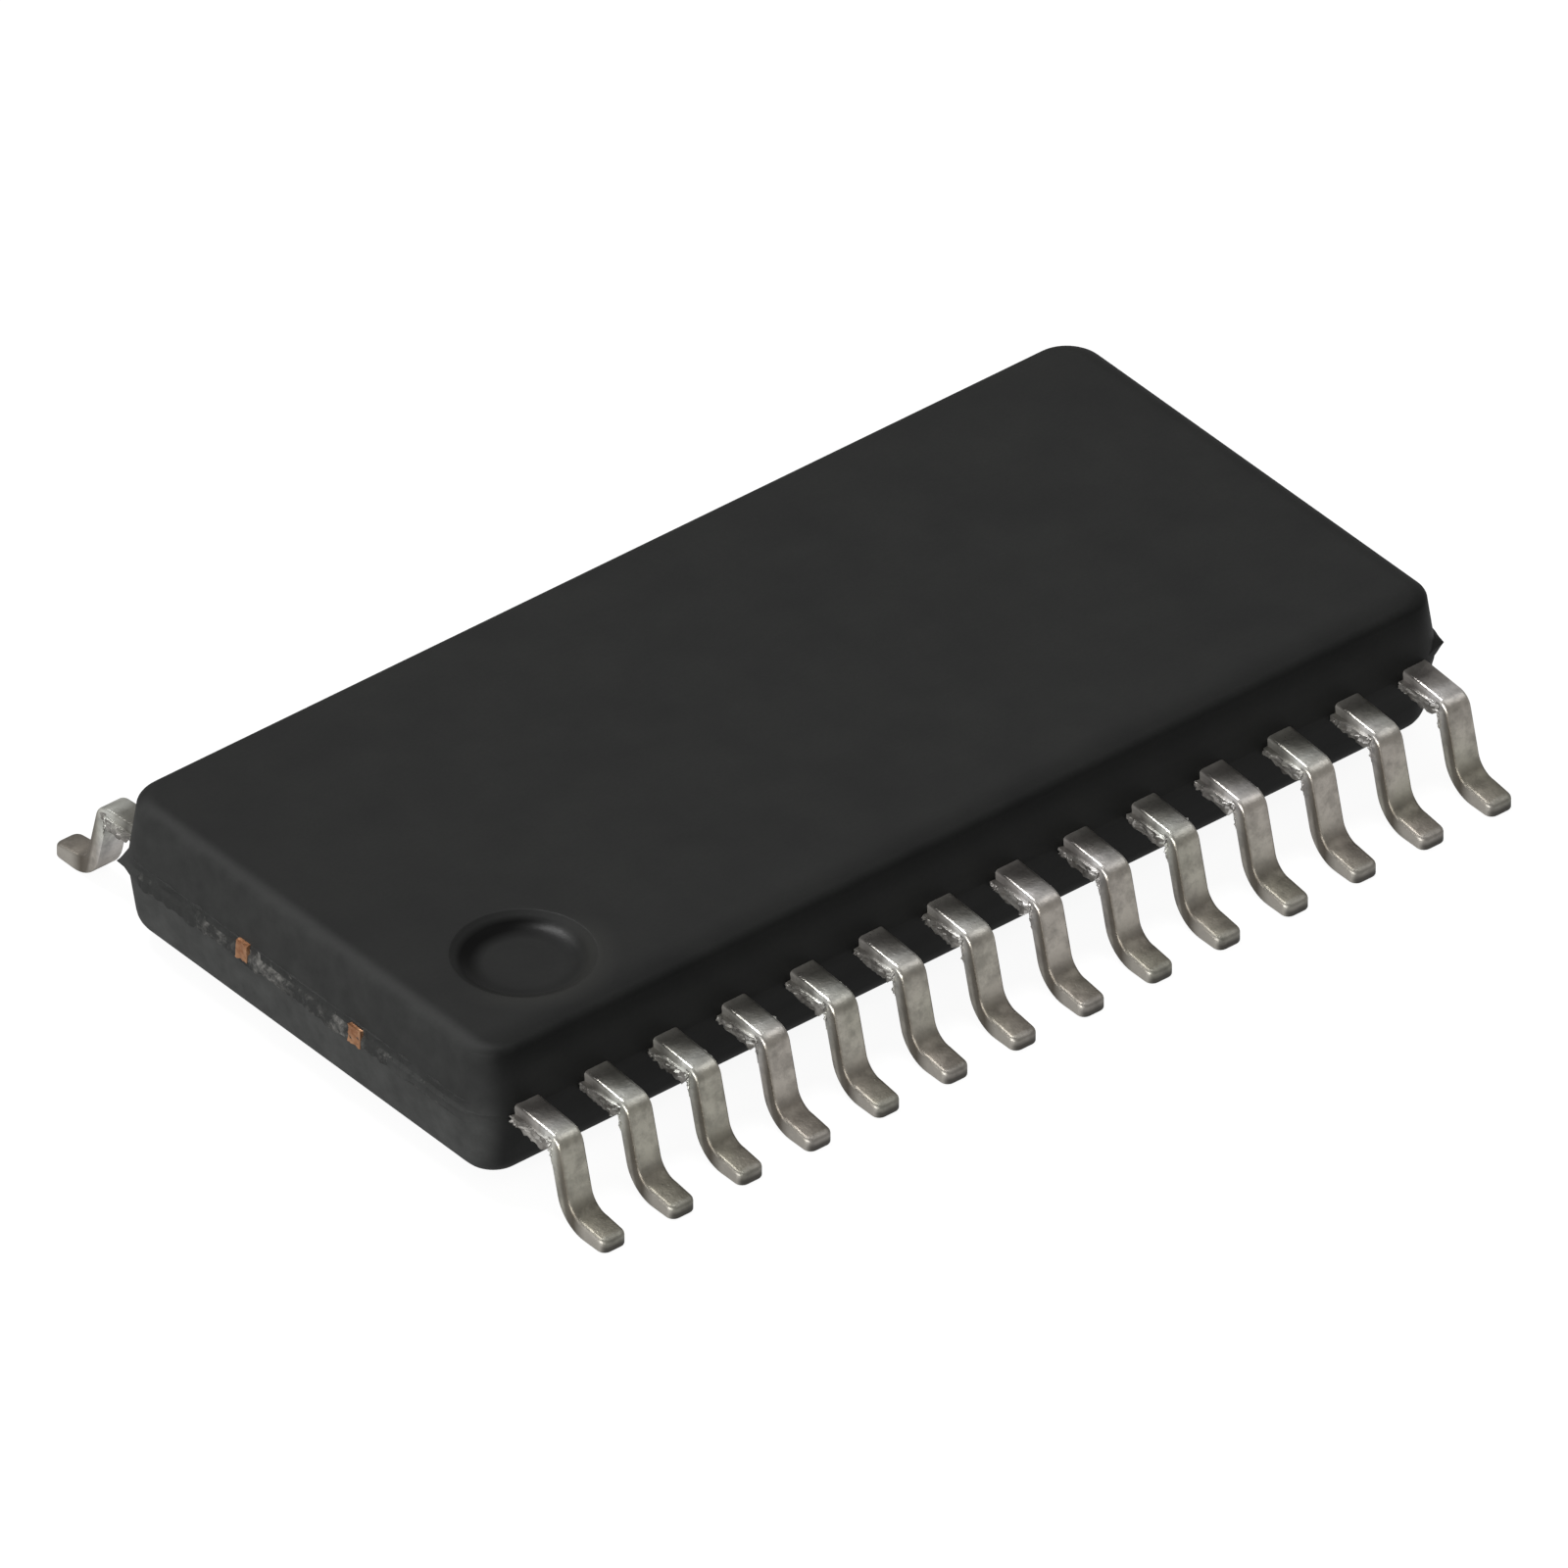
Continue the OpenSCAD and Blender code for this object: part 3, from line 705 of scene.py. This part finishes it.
def floor():
    """A white table that keeps a faint shadow of the chip: bright to the eye, and dim grey in the metal."""
    bpy.ops.mesh.primitive_plane_add(size=1.2, location=(0, 0, -0.02 * MM))
    piece = bpy.context.object
    piece.name = "pale_floor"
    m = bpy.data.materials.new("pale_floor")
    tree = node_tree(m)
    path = add(tree, "ShaderNodeLightPath")
    to_eye = add(tree, "ShaderNodeMath", TIMES, path.outputs["Is Camera Ray"], 0.92)
    strength = add(tree, "ShaderNodeMath", TIMES_PLUS, path.outputs["Is Glossy Ray"],
                   0.27, to_eye)
    lit = add(tree, "ShaderNodeBsdfDiffuse", None, grey(0.22))
    glow = add(tree, "ShaderNodeEmission", None, grey(1), strength)
    add(tree, "ShaderNodeOutputMaterial", None, add(tree, "ShaderNodeAddShader", None, lit, glow))
    dress(piece, m)


def air():
    """Even grey light from all round, white to the eye."""
    world = bpy.data.worlds.new("studio_air")
    bpy.context.scene.world = world
    tree = node_tree(world)
    around = add(tree, "ShaderNodeBackground", None, linear("#c9c8c6"), 0.5)
    white = add(tree, "ShaderNodeBackground", None, grey(1), 1.0)
    seen = add(tree, "ShaderNodeLightPath").outputs["Is Camera Ray"]
    add(tree, "ShaderNodeOutputWorld", None, add(tree, "ShaderNodeMixShader", None, seen, around, white))


def soft_light(name, towards, distance, size, power):
    """A square soft light, set off in a direction from the chip and turned to face it."""
    data = bpy.data.lights.new(name, "AREA")
    data.shape, data.size, data.energy = "SQUARE", size, power
    lamp = bpy.data.objects.new(name, data)
    bpy.context.collection.objects.link(lamp)
    way = Vector(towards).normalized()
    lamp.location = way * distance
    lamp.rotation_euler = way.to_track_quat("Z", "Y").to_euler()


def camera():
    """Long lens from above the dimple's corner, so that an end face and a row of leads show."""
    azimuth, elevation, roll = (math.radians(a) for a in (-39.35, 36.37, -0.08))
    distance, frame_width, sensor_width = 0.95, 22.59 * MM, 36
    aside, above = 0.0085, 0.6643
    back = Vector((math.sin(azimuth) * math.cos(elevation), -math.cos(azimuth) * math.cos(elevation),
                   math.sin(elevation)))
    level = Vector((math.cos(azimuth), math.sin(azimuth), 0))
    upright = back.cross(level)
    right = level * math.cos(roll) + upright * math.sin(roll)
    up = upright * math.cos(roll) - level * math.sin(roll)
    data = bpy.data.cameras.new("camera")
    data.sensor_width, data.sensor_fit = sensor_width, "HORIZONTAL"
    data.lens = sensor_width * distance / frame_width
    data.clip_start, data.clip_end = 0.05, 5
    eye = bpy.data.objects.new("camera", data)
    bpy.context.collection.objects.link(eye)
    eye.matrix_world = Matrix((right, up, back)).transposed().to_4x4()
    eye.location = (right * aside + up * above) * MM + back * distance
    bpy.context.scene.camera = eye


floor()
air()
soft_light("overhead_key", (-0.05, 0.40, 0.91), distance=0.5, size=0.12, power=1.0)
soft_light("left_fill", (-0.93, -0.25, 0.2), distance=0.5, size=0.3, power=1.4)
soft_light("front_glow", (0.51, -0.24, 0.83), distance=0.5, size=0.26, power=0.12)
camera()
bpy.context.scene.view_settings.view_transform = "Standard"
